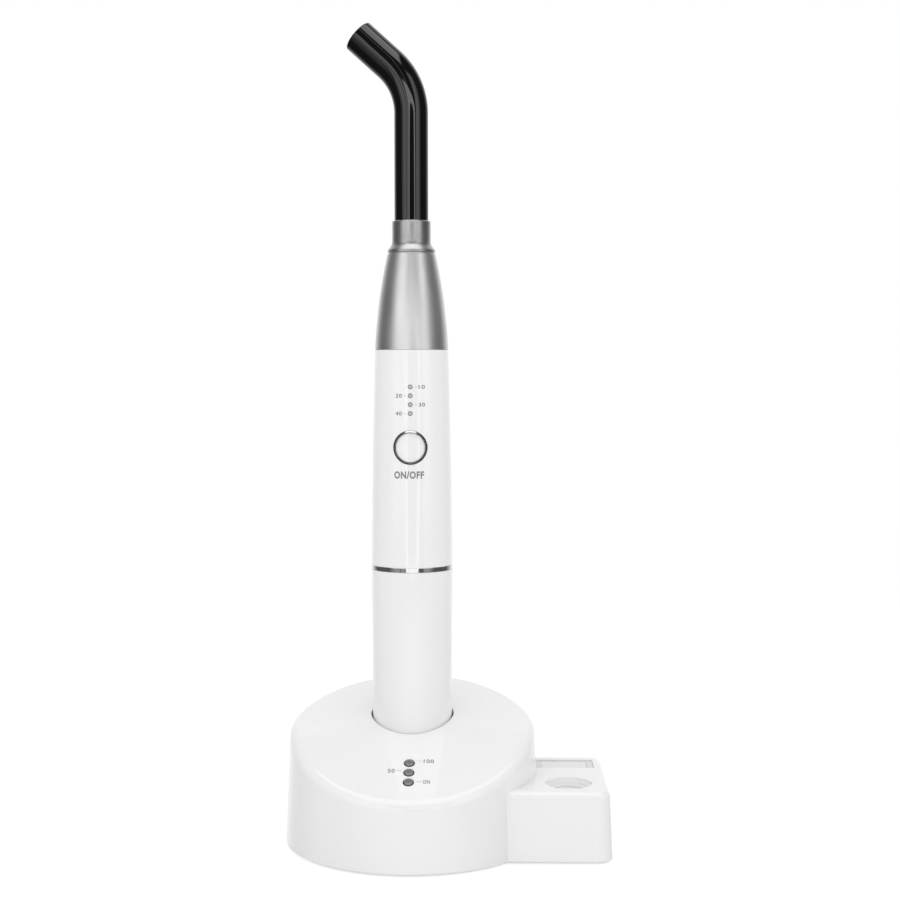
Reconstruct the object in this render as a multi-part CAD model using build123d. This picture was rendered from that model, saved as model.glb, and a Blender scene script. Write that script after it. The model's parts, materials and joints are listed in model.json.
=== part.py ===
from build123d import *
import os
from math import asin, cos, degrees, radians, sin, sqrt, tan

# Dental curing light: a pen-shaped handpiece with a bent light guide, standing in a charging
# base that has a light meter beside it.
# Millimetres. The origin is the centre of the base's foot, +Z is up, the front faces -Y and the
# light meter's box is on +X.

# Clearances
SLIP = 0.05             # fixed pieces that are put together by hand
RUN = 0.06              # a shaft turning or sliding in its hole
SEAT = 0.05             # between two faces that rest on each other on different bodies

# Base moulding
WALL = 2.2
FOOT_GAP = 0.4          # the moulding's lower edge above the table
BASE_RADIUS = 36.4      # at the lower edge
BASE_DRAFT = 2.5        # degrees
BASE_EDGE = 0.5         # chamfer of the lower edge
CREST_Y = -6.55         # where the two slopes of the top would meet
CREST_Z = 36.24
BACK_SLOPE = 8.2        # degrees
FRONT_SLOPE = 30.0      # degrees
CREST_BLEND = 40.0      # radius between the two slopes
CROWN_RADIUS = 195.0    # of the top's swelling from side to side
RIM_RADIUS = 3.2        # rounding round the top
TOP_MARGIN = 10.0       # that the top's surface reaches past the base before it is cut

# Light meter's box
BOX_REACH = 19.6        # past the round part, at the lower edge
BOX_FRONT = -24.4
BOX_BACK = 18.9
BOX_LEFT = 14.0         # inside the round part
BOX_TOP = 20.05
BOX_CORNER = 4.3
BOX_TOP_RADIUS = 2.3
LEAST_CORNER = 0.6

# Light meter's well, window and inside
WELL_EDGE = 11.9        # from the well's middle to the box's right side
WELL_Y = -13.85
WELL_RADII = (6.56, 5.43, 4.5)
WELL_RING_DEPTH = 0.75
DIFFUSER_THICK = 1.2
DIFFUSER_LIP = 0.8
METER_BOARD_THICK = 1.6
METER_BOARD_EDGES = (22.5, 3.4)     # from the board's two ends to the box's right side
METER_BOARD_Y = (-20.0, 15.2)
METER_DEPTH = 3.4       # from the box's ceiling down to the board
DIODE_RADIUS = 2.4
DIODE_RIM = 0.4
DIODE_RIM_THICK = 0.5
WINDOW_EDGE = 12.15     # from the window's middle to the box's right side
WINDOW_Y = 8.3
WINDOW_SIZE = (17.1, 9.8)
WINDOW_SUNK = 0.25
WINDOW_FLANGE = 0.5
FLANGE_THICK = 0.6
PANE_SIZE = (13.3, 8.2)
MODULE_MARGIN = (1.6, 1.0)
POST_RADIUS = 1.6
POST_INSIDE = 0.4       # from a post's side to the board's edge
BOSS_NOTCH = 0.5        # between the board and the screw boss

# Bottom plate, pads, screws and ballast
PLATE_THICK = 2.0
PAD_THICK = 1.4
PAD_CLEAR = 3.9         # between the round pad and the screws' heads
BOX_PAD_SIZE = (12.0, 22.0)
BOX_PAD_EDGE = 14.0     # from the pad's middle to the box's right side
BOX_PAD_CORNER = 1.5
SCREW_ANGLES = (60.0, 180.0, 300.0)
BOX_SCREW_Y = -2.3
SCREW_HEAD = 1.9
SCREW_HEAD_THICK = 1.2
SCREW_SHANK = 1.2
SCREW_LENGTH = 7.0
SCREW_CROSS = (2.6, 0.6, 1.0)
BOSS_RADIUS = 2.9
BOSS_BITE = 0.2         # that a boss stands in the wall at its foot
BALLAST_CLEAR = 0.8     # between the ballast and the screw bosses
BALLAST_WIDTH = 9.2
BALLAST_BOARD_GAP = 1.0     # between the ballast and the charging board
BALLAST_THICK = 5.0
BALLAST_GAP = 17.0      # opening of the ring at the back

# Charging board and inlet
BOARD_THICK = 1.6
BOARD_GAP = 0.4         # between the board's tongue and the wall
STANDOFF = 1.3
STANDOFF_RADIUS = 2.0
STANDOFF_INSIDE = 4.1   # from the board's edge in to a standoff's middle
STANDOFF_ANGLES = (30.0, 150.0, 270.0)
TONGUE_WIDTH = 13.0
JACK_WIDTH = 9.0
JACK_HEIGHT = 11.0
JACK_LENGTH = 12.5
JACK_NOSE = 4.0         # radius of the round front
JACK_BORE = 2.8
JACK_PIN = 1.0
JACK_DEPTH = 9.0
JACK_GAP = 0.8          # between the inlet's block and the wall
JACK_SUNK = 0.4         # that its lip stands behind the wall's surface

# Indicator lamps on the front slope
LAMP_OUT = 13.15        # from the socket's edge to the middle lamp
LAMP_PITCH = 3.7
LAMP_RADIUS = 1.5
LAMP_DOME = 0.9
LAMP_LENGTH = 5.2
LAMP_FLANGE = 0.12
LAMP_FLANGE_THICK = 0.6
LAMP_COUNT = 3
LAMP_BOARD = (11.4, 13.0, 1.2)
LAMP_POST_X = 4.2
LAMP_POST_RADIUS = 1.2

# Socket and charge pins
SOCKET_CLEAR = 0.3      # between the handpiece's ring and the socket
CUP_WALL = 1.6
CUP_FLOOR = 1.6
FLOOR_Z = 11.5          # top of the socket's floor
KEY_WIDTH = 2.6
KEY_DEPTH = 1.2
KEY_HEIGHT = 7.0
KEY_GAP = 0.3
PIN_X = 3.6
PIN_RADIUS = 0.75
PIN_FLANGE = 1.15
PIN_FLANGE_THICK = 0.6
PIN_REACH = 0.95        # above the floor, pressed by the handpiece
PIN_ROUND = 0.65
PIN_LIFT = 0.7          # that the pins rise when the handpiece is away
CHAMBER_RADIUS = 1.25
BLOCK_SIZE = (13.0, 7.0)
PIN_WIRE = 0.3
PIN_SPRING_PITCH = 0.8
PIN_SPRING_RADIUS = 0.8

# Handpiece, from the tail up
TAIL_TAPER = 0.35       # that the tail is slimmer than the body at the ring
TAIL_EDGE = 1.2
RING_THICK = 1.4
RING_CHAMFER = 0.12
RING_WALL = 1.0         # outside the rear housing's spigot
NECK_Z = 140.9          # seam between the white body and the nose
NECK_TAPER = 1.1        # that the body is slimmer at the seam than at the ring
BODY_CROWN = 0.17       # swelling of the body's side between ring and seam
NECK_EDGE = 0.35
CELL_GAP = 0.45
CELL_RADIUS = 9.3
CELL_LENGTH = 65.0
CELL_EDGE = 0.8         # chamfer of the cell's two edges
CELL_NUB = 1.0
CELL_NUB_RADIUS = 3.0
SPIGOT_WALL = 0.8       # of the rear housing's spigot
JOINT_LENGTH = 4.8
PLUG_THICK = 4.5
POCKET_RADIUS = 2.2
POCKET_DEPTH = 1.0
CONTACT_THICK = 0.6
TAIL_SPRING_HEIGHT = 3.6
TAIL_SPRING_RADIUS = 4.5
TAIL_WIRE = 0.7
TAIL_SPRING_PITCH = 1.25
CONTACT_RADIUS = 5.0
FRONT_WALL = 1.45       # of the front housing at the seam

# Chassis and electronics in the handpiece
CHASSIS_GAP = 0.2
CHASSIS_WALL = 1.8
CHASSIS_END = 2.0
CHASSIS_TOP = 134.0
CONTROL_BOARD = (14.0, 1.2)
CONTROL_FACE_Y = -1.2   # front face of the control board
SWITCH_SIZE = 6.0
SWITCH_DEPTH = 3.6
SWITCH_POCKET = 1.3
PLUNGER_RADIUS = 1.7
PLUNGER_OUT = 1.0
PLUNGER_GAP = 0.2       # left behind the plunger when it is pressed

# Button and mode lamps
BUTTON_Z = 113.6
BUTTON_RADIUS = 4.05
BUTTON_SUNK = 0.1
BUTTON_FLANGE = 0.45
BUTTON_FLANGE_THICK = 0.8
BUTTON_TRAVEL = 0.5
BEZEL_OUTER = 4.75
BEZEL_DEPTH = 1.5
BEZEL_PROUD = 0.1
MODE_TOP_Z = 130.5
MODE_PITCH = 2.47
MODE_COUNT = 4
MODE_RADIUS = 0.62
MODE_LAMP = (2.0, 0.8, 1.25)

# Nose
NOSE_TOP = 168.2
NOSE_TOP_RADIUS = 6.78
NOSE_STEP = 0.04        # that the nose is slimmer than the body at the seam
NOSE_CROWN = 0.6
NOSE_CHAMFER = 0.25
SPIGOT_LENGTH = 6.9
NOSE_SPIGOT_WALL = 1.4
GUIDE_BORE = 5.6
GUIDE_DEPTH = 11.5      # of the guide's bore
LENS_RADIUS = 6.55
LENS_FLANGE = 1.4
LENS_FOOT = 2.6
LENS_HEIGHT = 4.8
LENS_GAP = 0.2
HOLDER_WALL = 0.8
SINK_LENGTH = 15.0
SINK_GROOVE = 1.2
SINK_GROOVES = 3
SINK_GROOVE_DEPTH = 2.0
EMITTER_THICK = 1.0
EMITTER_RADIUS = 6.0
DOME_RADIUS = 1.9
NOSE_RING_WIRE = 0.36   # radius of the seal's section

# Light guide
FERRULE_RADIUS = 6.74
FERRULE_FLARE = (169.0, 170.7)
FLARE_ROUND = 0.5
FLARE_HOLLOW = 2.5      # where the flare runs into the collar
COLLAR_RADIUS = 5.46
COLLAR_TOP = 177.3
COLLAR_EDGE = 0.5
FERRULE_CHAMFER = 0.25
SHANK_RADIUS = 5.54
SHANK_END_GAP = 0.4
JACKET_RADIUS = 4.8
CORE_RADIUS = 4.0
JACKET_LOW = 167.0
JACKET_EDGE = 0.35      # rounding of the jacket's end
BEND_START = 207.5
BEND_RADIUS = 18.8
BEND_ANGLE = 47.7       # degrees
TIP_LENGTH = 12.4
GUIDE_TURN = 9.0        # degrees that the tip is turned to the back
SEAL_WIRE = 0.45        # radius of the guide's seal
SEAL_Z = 162.5

# Radii, heights and places that follow from the sizes above
BOX_RIGHT = BASE_RADIUS + BOX_REACH
WELL_X = BOX_RIGHT - WELL_EDGE
WINDOW_X = BOX_RIGHT - WINDOW_EDGE
BOX_PAD_X = BOX_RIGHT - BOX_PAD_EDGE
METER_BOARD_X = tuple(BOX_RIGHT - edge for edge in METER_BOARD_EDGES)
CELL_BORE = CELL_RADIUS + CELL_GAP
JOINT_RADIUS = CELL_BORE + SPIGOT_WALL
BODY_RADIUS = JOINT_RADIUS + RING_WALL      # at the ring
TAIL_RADIUS = BODY_RADIUS - TAIL_TAPER
SOCKET_RADIUS = BODY_RADIUS + SOCKET_CLEAR
LAMP_MIDDLE_Y = -(SOCKET_RADIUS + LAMP_OUT)
NECK_RADIUS = BODY_RADIUS - NECK_TAPER
NOSE_RADIUS = NECK_RADIUS - NOSE_STEP
FRONT_BORE = NECK_RADIUS - FRONT_WALL
SPIGOT_BORE = FRONT_BORE - NOSE_SPIGOT_WALL
PLATE_TOP = FOOT_GAP + PLATE_THICK
BOARD_LOW = PLATE_TOP + STANDOFF
BOARD_TOP = BOARD_LOW + BOARD_THICK
FLOOR_LOW = FLOOR_Z - CUP_FLOOR
CUP_OUTER = SOCKET_RADIUS + CUP_WALL
BOX_CEILING = BOX_TOP - WALL
METER_BOARD_TOP = BOX_CEILING - METER_DEPTH
METER_BOARD_LOW = METER_BOARD_TOP - METER_BOARD_THICK
TAIL_Z = FLOOR_Z + SEAT
PLUG_TOP = TAIL_Z + PLUG_THICK
CELL_LOW = PLUG_TOP + TAIL_SPRING_HEIGHT
CELL_TOP = CELL_LOW + CELL_LENGTH
CHASSIS_LOW = CELL_TOP + CONTACT_THICK
RING_HIGH = CELL_TOP + SLIP - JOINT_LENGTH
RING_LOW = RING_HIGH - RING_THICK
CHASSIS_RADIUS = FRONT_BORE - CHASSIS_GAP
GUIDE_SHOULDER = NOSE_TOP - GUIDE_DEPTH
SPIGOT_LOW = NECK_Z - SPIGOT_LENGTH
FERRULE_LOW = NOSE_TOP + SEAT
SHANK_LOW = GUIDE_SHOULDER + SHANK_END_GAP
LENS_LOW = GUIDE_SHOULDER - LENS_HEIGHT
SINK_TOP = LENS_LOW - EMITTER_THICK
SINK_LOW = SINK_TOP - SINK_LENGTH
SCREW_RING = BASE_RADIUS - WALL - BOSS_RADIUS + BOSS_BITE
BOX_SCREW = (BOX_RIGHT - WALL - BOSS_RADIUS + BOSS_BITE, BOX_SCREW_Y)
SCREW_PLACES = [(SCREW_RING * cos(radians(a)), SCREW_RING * sin(radians(a))) for a in SCREW_ANGLES]
SCREW_PLACES = SCREW_PLACES + [BOX_SCREW]
BALLAST_OUTER = SCREW_RING - BOSS_RADIUS - BALLAST_CLEAR
BALLAST_INNER = BALLAST_OUTER - BALLAST_WIDTH
BOARD_RADIUS = BALLAST_INNER - BALLAST_BOARD_GAP
STANDOFF_RING = BOARD_RADIUS - STANDOFF_INSIDE
PAD_RADIUS = SCREW_RING - SCREW_HEAD - PAD_CLEAR
TOP_REACH = BASE_RADIUS + TOP_MARGIN
CROWN_SWEEP = 2 * degrees(asin(TOP_REACH / (CROWN_RADIUS - CREST_Z - WALL)))
FAR = 300.0             # reaches past the whole object
WIRE_SIDES = 6          # a spring's wire and a seal have few sides, because many are never seen
SEAL_SIDES = 8


def rod(radius, low, high, x=0.0, y=0.0):
    """A round bar along Z between two heights."""
    return Pos(x, y, (low + high) / 2) * Cylinder(radius, high - low)


def tube(outer, inner, low, high, x=0.0, y=0.0):
    """A pipe along Z between two heights."""
    return rod(outer, low, high, x, y) - rod(inner, low, high, x, y)


def slab(x_span, y_span, z_span):
    """A rectangular block given by its two ends along each axis."""
    middle = [(span[0] + span[1]) / 2 for span in (x_span, y_span, z_span)]
    sides = [span[1] - span[0] for span in (x_span, y_span, z_span)]
    return Pos(*middle) * Box(*sides)


def turned(points, rounds=(), cuts=()):
    """Turn an outline of (radius, height) points about Z; rounds and cuts give (point, size) pairs."""
    face = make_face(Polyline(*points, close=True))
    for pairs, ease in ((rounds, fillet), (cuts, chamfer)):
        for place, size in pairs:
            corner = face.vertices().sort_by_distance(Vector(place[0], place[1], 0))[0]
            face = ease(corner, size)
    return revolve(Plane.XZ * face, Axis.Z)


def turned_side(low, high, crown, inner=0.0):
    """Turn a side that swells by crown between two (radius, height) points."""
    side = SagittaArc(low, high, -crown)
    rest = Polyline(high, (inner, high[1]), (inner, low[1]), low)
    return revolve(Plane.XZ * make_face(side + rest), Axis.Z)


def seal_ring(radius, wire, height):
    """A sealing ring; radius is to the middle of its section and wire is half its thickness."""
    outline = RegularPolygon(wire, SEAL_SIDES, major_radius=False, rotation=180 / SEAL_SIDES)
    return revolve(Plane.XZ * Pos(radius, height) * outline, Axis.Z)


def coil(radius, wire, pitch, low, height, x=0.0):
    """A compression spring standing on low."""
    path = Helix(pitch, height - wire, radius)
    section = Plane(origin=path @ 0, z_dir=path % 0) * RegularPolygon(wire / 2, WIRE_SIDES)
    print("spring at x", x, "least gap to itself", round(pitch - wire, 2), "mm")
    return Pos(x, 0, low + wire / 2) * sweep(section, path, is_frenet=True)


def along_y(radius, front, back, x=0.0, z=0.0):
    """A round bar along Y between its front and back ends."""
    return Pos(x, (front + back) / 2, z) * Rot(90, 0, 0) * Cylinder(radius, back - front)


# Charging base

def crest_point(inset):
    """Where the slopes meet, moved square to both of them by inset."""
    half_turn = radians((FRONT_SLOPE - BACK_SLOPE) / 2)
    lean = radians((FRONT_SLOPE + BACK_SLOPE) / 2)
    shift = inset / cos(half_turn)
    return CREST_Y + shift * sin(lean), CREST_Z - shift * cos(lean)


def under_slopes(inset):
    """Everything under the two slopes and the blend between them, swelling from side to side."""
    y, z = crest_point(inset)
    back = (TOP_REACH, z + (TOP_REACH - y) * tan(radians(BACK_SLOPE)))
    front = (-TOP_REACH, z - (TOP_REACH + y) * tan(radians(FRONT_SLOPE)))
    face = make_face(Polyline((y, z), back, (TOP_REACH, -WALL), (-TOP_REACH, -WALL), front, close=True))
    crest = face.vertices().sort_by_distance(Vector(y, z, 0))[0]
    profile = Plane.YZ * fillet(crest, CREST_BLEND - inset)
    axis = Axis((0, 0, CREST_Z - CROWN_RADIUS), (0, 1, 0))
    return revolve(profile.rotate(axis, -CROWN_SWEEP / 2), axis, CROWN_SWEEP)


def round_form(inset):
    """The drafted round part under its sloping top."""
    low = FOOT_GAP if inset == 0 else 0.0
    radius = BASE_RADIUS - inset + (FOOT_GAP - low) * tan(radians(BASE_DRAFT))
    height = CREST_Z * 2
    top = radius - height * tan(radians(BASE_DRAFT))
    return Pos(0, 0, low + height / 2) * Cone(radius, top, height) & under_slopes(inset)


def box_form(inset):
    """The light meter's drafted box."""
    low = FOOT_GAP if inset == 0 else 0.0
    grow = (FOOT_GAP - low) * tan(radians(BASE_DRAFT)) - inset
    wide = BOX_RIGHT - BOX_LEFT + 2 * grow
    deep = BOX_BACK - BOX_FRONT + 2 * grow
    middle = Pos((BOX_RIGHT + BOX_LEFT) / 2, (BOX_BACK + BOX_FRONT) / 2, low)
    outline = RectangleRounded(wide, deep, max(BOX_CORNER - inset, LEAST_CORNER))
    return middle * extrude(outline, BOX_TOP - inset - low, taper=BASE_DRAFT)


def rounded_round_form():
    """The round part with its rim rounded and its lower edge eased."""
    form = round_form(0)
    side = form.faces().filter_by(GeomType.CONE).sort_by(SortBy.AREA)[-1]
    rim = [e for e in side.edges() if e.geom_type != GeomType.LINE and e.center().Z > FOOT_GAP + 1]
    form = fillet(rim, RIM_RADIUS)
    return chamfer(form.edges().group_by(Axis.Z)[0], BASE_EDGE)


def rounded_box_form():
    """The box with its upper edges rounded and its lower ones eased."""
    form = box_form(0)
    form = fillet(form.faces().sort_by(Axis.Z)[-1].edges(), BOX_TOP_RADIUS)
    return chamfer(form.edges().group_by(Axis.Z)[0], BASE_EDGE)


def slope_z(y):
    """Height of the front slope's plane at y."""
    return CREST_Z + (y - CREST_Y) * tan(radians(FRONT_SLOPE))


def lamp_plane():
    """Plane of the front slope, with its origin at the middle lamp and Y up the slope."""
    lean = radians(FRONT_SLOPE)
    origin = (0, LAMP_MIDDLE_Y, slope_z(LAMP_MIDDLE_Y))
    return Plane(origin=origin, x_dir=(1, 0, 0), z_dir=(0, -sin(lean), cos(lean)))


def lamp_places():
    """Places of the lamps along the slope."""
    middle = (LAMP_COUNT - 1) / 2
    return [(i - middle) * LAMP_PITCH for i in range(LAMP_COUNT)]


def jack_height():
    """Height of the inlet's axis."""
    return BOARD_TOP + JACK_HEIGHT / 2


def wall_inside(z):
    """Radius of the round wall's inner face at a height."""
    return BASE_RADIUS - WALL - (z - FOOT_GAP) * tan(radians(BASE_DRAFT))


def meter_posts():
    """Posts that hold the light meter's board: (x, y) inside its corners."""
    left, right = METER_BOARD_X
    front, back = METER_BOARD_Y
    inside = POST_RADIUS + POST_INSIDE
    return [(left + inside, front + inside), (right - inside, front + inside), (left + inside, -inside)]


def make_base_housing():
    """One moulding: the round part, the box, and what is moulded inside them."""
    cavity = round_form(WALL) + box_form(WALL)
    shell = rounded_round_form() + rounded_box_form() - cavity
    for x, y in SCREW_PLACES:
        boss = rod(BOSS_RADIUS, PLATE_TOP, CREST_Z * 2, x, y) & cavity
        shell = shell + boss - rod(SCREW_SHANK, 0, FOOT_GAP + SCREW_LENGTH + 1, x, y)
    for x, y in meter_posts():
        shell = shell + rod(POST_RADIUS, METER_BOARD_TOP, BOX_CEILING + WALL / 2, x, y)
    plane = lamp_plane()
    for side in (-1, 1):
        post = plane * Pos(side * LAMP_POST_X, 0, 0) * rod(LAMP_POST_RADIUS, -LAMP_LENGTH, -WALL / 2)
        shell = shell + post
    for place in lamp_places():
        shell = shell - plane * Pos(0, place, 0) * rod(LAMP_RADIUS + SLIP, -2 * WALL, WALL)
    shell = shell - rod(SOCKET_RADIUS, FLOOR_Z, FAR)
    for step, radius in enumerate(WELL_RADII):
        low = BOX_TOP - (step + 1) * WELL_RING_DEPTH
        shell = shell - rod(radius, low - SLIP, BOX_TOP + 1, WELL_X, WELL_Y)
    opening = Pos(WINDOW_X, WINDOW_Y, BOX_TOP) * Box(*WINDOW_SIZE, 3 * WALL)
    nose = along_y(JACK_NOSE + SLIP, wall_inside(jack_height()) - WALL, BASE_RADIUS + 1, z=jack_height())
    return shell - opening - nose


def make_bottom_plate():
    """The plate that closes the moulding from below, with recesses for the pads."""
    plate = round_form(WALL + SLIP) + box_form(WALL + SLIP)
    plate = plate & slab((-FAR, FAR), (-FAR, FAR), (FOOT_GAP, PLATE_TOP))
    for x, y in SCREW_PLACES:
        plate = plate - rod(SCREW_SHANK + SLIP, 0, PLATE_TOP + 1, x, y)
        plate = plate - rod(SCREW_HEAD + SLIP, 0, FOOT_GAP + SCREW_HEAD_THICK, x, y)
    plate = plate - rod(PAD_RADIUS + SLIP, 0, PAD_THICK)
    pad = Pos(BOX_PAD_X, (BOX_FRONT + BOX_BACK) / 2, 0)
    wide, deep = BOX_PAD_SIZE
    plate = plate - pad * Box(wide + 2 * SLIP, deep + 2 * SLIP, 2 * PAD_THICK)
    for angle in STANDOFF_ANGLES:
        x = STANDOFF_RING * cos(radians(angle))
        y = STANDOFF_RING * sin(radians(angle))
        plate = plate + rod(STANDOFF_RADIUS, PLATE_TOP - PLATE_THICK / 4, BOARD_LOW, x, y)
    return plate


def make_base_pad():
    """The round anti-slip pad that the base stands on."""
    pad = rod(PAD_RADIUS, 0, PAD_THICK)
    return chamfer(pad.edges().group_by(Axis.Z)[0], PAD_THICK / 4)


def make_box_pad():
    """The anti-slip pad under the light meter's box."""
    outline = RectangleRounded(*BOX_PAD_SIZE, BOX_PAD_CORNER)
    return Pos(BOX_PAD_X, (BOX_FRONT + BOX_BACK) / 2, 0) * extrude(outline, PAD_THICK)


def make_base_screws():
    """Pan-head screws from below, one in each boss."""
    long, wide, deep = SCREW_CROSS
    screws = []
    for x, y in SCREW_PLACES:
        head = rod(SCREW_HEAD, FOOT_GAP, FOOT_GAP + SCREW_HEAD_THICK, x, y)
        cross = Pos(x, y, FOOT_GAP) * (Box(long, wide, deep) + Box(wide, long, deep))
        shank = rod(SCREW_SHANK - SLIP, FOOT_GAP, FOOT_GAP + SCREW_LENGTH, x, y)
        screws.append(head + shank - cross)
    return Compound(children=screws)


def make_ballast_ring():
    """The open steel ring that keeps the base from tipping."""
    ring = tube(BALLAST_OUTER, BALLAST_INNER, PLATE_TOP, PLATE_TOP + BALLAST_THICK)
    half_gap = BALLAST_GAP / 2
    return ring - slab((-half_gap, half_gap), (0, FAR), (0, FAR))


def make_charge_board():
    """Round charging board with a tongue to the inlet."""
    back = wall_inside(jack_height()) - BOARD_GAP
    tongue = slab((-TONGUE_WIDTH / 2, TONGUE_WIDTH / 2), (0, back), (BOARD_LOW, BOARD_TOP))
    board = rod(BOARD_RADIUS, BOARD_LOW, BOARD_TOP) + tongue
    return board & rod(wall_inside(BOARD_TOP) - BOARD_GAP, BOARD_LOW, BOARD_TOP)


def make_dc_jack():
    """Power inlet: a block on the board with a round nose in the wall and a centre pin."""
    z = jack_height()
    face = wall_inside(z + JACK_HEIGHT / 2) - JACK_GAP
    lip = wall_inside(z) + WALL - JACK_SUNK
    half = JACK_WIDTH / 2
    body = slab((-half, half), (face - JACK_LENGTH, face), (BOARD_TOP, BOARD_TOP + JACK_HEIGHT))
    body = body + along_y(JACK_NOSE, face - 1, lip, z=z)
    body = body - along_y(JACK_BORE, lip - JACK_DEPTH, lip + 1, z=z)
    return body + along_y(JACK_PIN, lip - JACK_DEPTH - 1, lip - 1, z=z)


def make_indicator_lamps():
    """Domed lamps standing square to the front slope."""
    plane = lamp_plane()
    ball = (LAMP_RADIUS ** 2 + LAMP_DOME ** 2) / (2 * LAMP_DOME)
    lamps = []
    for place in lamp_places():
        dome = Pos(0, 0, LAMP_DOME - ball) * Sphere(ball) & rod(LAMP_RADIUS, 0, 2 * LAMP_DOME)
        lamp = rod(LAMP_RADIUS, -LAMP_LENGTH, 0) + dome
        lamp = lamp + rod(LAMP_RADIUS + LAMP_FLANGE, -LAMP_LENGTH, LAMP_FLANGE_THICK - LAMP_LENGTH)
        lamps.append(plane * Pos(0, place, 0) * lamp)
    return Compound(children=lamps)


def make_indicator_board():
    """The small board behind the lamps, on two posts of the moulding."""
    wide, deep, thick = LAMP_BOARD
    return lamp_plane() * Pos(0, 0, -LAMP_LENGTH - thick / 2) * Box(wide, deep, thick)


def make_socket_cup():
    """The keyed cup that takes the handpiece's tail; its rim meets the moulding's ceiling."""
    cup = rod(CUP_OUTER, FLOOR_LOW, FAR) & round_form(WALL)
    cup = cup - rod(SOCKET_RADIUS, FLOOR_Z, FAR)
    low = SOCKET_RADIUS - KEY_DEPTH
    key = slab((-KEY_WIDTH / 2, KEY_WIDTH / 2), (low, SOCKET_RADIUS + CUP_WALL / 2),
               (FLOOR_Z - CUP_FLOOR / 2, FLOOR_Z + KEY_HEIGHT))
    cup = cup + key
    for x in (-PIN_X, PIN_X):
        cup = cup - rod(PIN_RADIUS + RUN, 0, FLOOR_Z + 1, x)
    return cup


def make_contact_block():
    """Insulating block between board and socket floor, with a chamber for each pin."""
    block = Pos(0, 0, (BOARD_TOP + FLOOR_LOW) / 2) * Box(*BLOCK_SIZE, FLOOR_LOW - BOARD_TOP)
    for x in (-PIN_X, PIN_X):
        block = block - rod(CHAMBER_RADIUS, 0, FLOOR_Z, x)
    return block


def make_charge_pin(x):
    """A flanged charge pin with a round tip, pressed down by the handpiece."""
    tip = FLOOR_Z + PIN_REACH
    collar = FLOOR_LOW - PIN_LIFT
    outline = [(0, collar - PIN_FLANGE_THICK), (PIN_FLANGE, collar - PIN_FLANGE_THICK),
               (PIN_FLANGE, collar), (PIN_RADIUS, collar), (PIN_RADIUS, tip), (0, tip)]
    return Pos(x, 0, 0) * turned(outline, [((PIN_RADIUS, tip), PIN_ROUND)])


def make_pin_spring(x):
    """The spring under a charge pin."""
    height = FLOOR_LOW - PIN_LIFT - PIN_FLANGE_THICK - BOARD_TOP
    return coil(PIN_SPRING_RADIUS, PIN_WIRE, PIN_SPRING_PITCH, BOARD_TOP, height, x)


def make_sensor_diffuser():
    """The disc under the light meter's well."""
    radius = WELL_RADII[-1]
    well_floor = BOX_TOP - len(WELL_RADII) * WELL_RING_DEPTH
    disc = rod(radius + DIFFUSER_LIP, BOX_CEILING - DIFFUSER_THICK, BOX_CEILING - SLIP, WELL_X, WELL_Y)
    return disc + rod(radius - SLIP, BOX_CEILING - DIFFUSER_THICK, well_floor, WELL_X, WELL_Y)


def make_photodiode():
    """The sensor can under the diffuser."""
    top = BOX_CEILING - DIFFUSER_THICK
    can = rod(DIODE_RADIUS, METER_BOARD_TOP, top, WELL_X, WELL_Y)
    rim_top = METER_BOARD_TOP + DIODE_RIM_THICK
    return can + rod(DIODE_RADIUS + DIODE_RIM, METER_BOARD_TOP, rim_top, WELL_X, WELL_Y)


def make_radiometer_board():
    """The light meter's board, notched round the screw boss."""
    board = slab(METER_BOARD_X, METER_BOARD_Y, (METER_BOARD_LOW, METER_BOARD_TOP))
    return board - rod(BOSS_RADIUS + BOSS_NOTCH, 0, FAR, *BOX_SCREW)


def window_plate(size, low, high):
    """A rectangular plate centred on the window."""
    return Pos(WINDOW_X, WINDOW_Y, (low + high) / 2) * Box(*size, high - low)


def make_display_bezel():
    """The grey frame in the box's window opening, flanged under the ceiling."""
    wide, deep = WINDOW_SIZE
    low = BOX_CEILING - FLANGE_THICK
    flange = window_plate((wide + 2 * WINDOW_FLANGE, deep + 2 * WINDOW_FLANGE), low, BOX_CEILING)
    frame = window_plate((wide - 2 * SLIP, deep - 2 * SLIP), low, BOX_TOP - WINDOW_SUNK)
    frame = frame + (flange & box_form(WALL + SLIP))
    return frame - window_plate(PANE_SIZE, 0, FAR)


def make_display_window():
    """The milky pane inside the frame."""
    wide, deep = PANE_SIZE
    low = BOX_CEILING - FLANGE_THICK
    return window_plate((wide - 2 * SLIP, deep - 2 * SLIP), low, BOX_TOP - WINDOW_SUNK - SLIP)


def make_display_module():
    """The number display under the pane."""
    size = (PANE_SIZE[0] + MODULE_MARGIN[0], PANE_SIZE[1] + MODULE_MARGIN[1])
    return window_plate(size, METER_BOARD_TOP, BOX_CEILING - FLANGE_THICK)


# Handpiece housings

def body_form(grow):
    """The white front body's outer form, grown or shrunk by a small amount."""
    low = (BODY_RADIUS + grow, RING_HIGH)
    return turned_side(low, (NECK_RADIUS + grow, NECK_Z), BODY_CROWN)


def body_radius(z):
    """The white front body's radius at a height, with its flat arc taken as a parabola."""
    share = (z - RING_HIGH) / (NECK_Z - RING_HIGH)
    return BODY_RADIUS + (NECK_RADIUS - BODY_RADIUS) * share + 4 * BODY_CROWN * share * (1 - share)


def make_front_housing():
    """The white front tube with the button's hole and the mode lamps' holes."""
    body = fillet(body_form(0).edges().group_by(Axis.Z)[-1], NECK_EDGE)
    body = body - rod(FRONT_BORE, CHASSIS_LOW - SLIP, NECK_Z + 1)
    body = body - rod(CELL_BORE, RING_LOW, CHASSIS_LOW)
    body = body - rod(JOINT_RADIUS + SLIP, RING_LOW, RING_HIGH + JOINT_LENGTH)
    body = body - along_y(BEZEL_OUTER + SLIP, -FAR, 0, z=BUTTON_Z)
    for z in mode_heights():
        body = body - along_y(MODE_RADIUS + SLIP, -FAR, 0, z=z)
    return body


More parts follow.
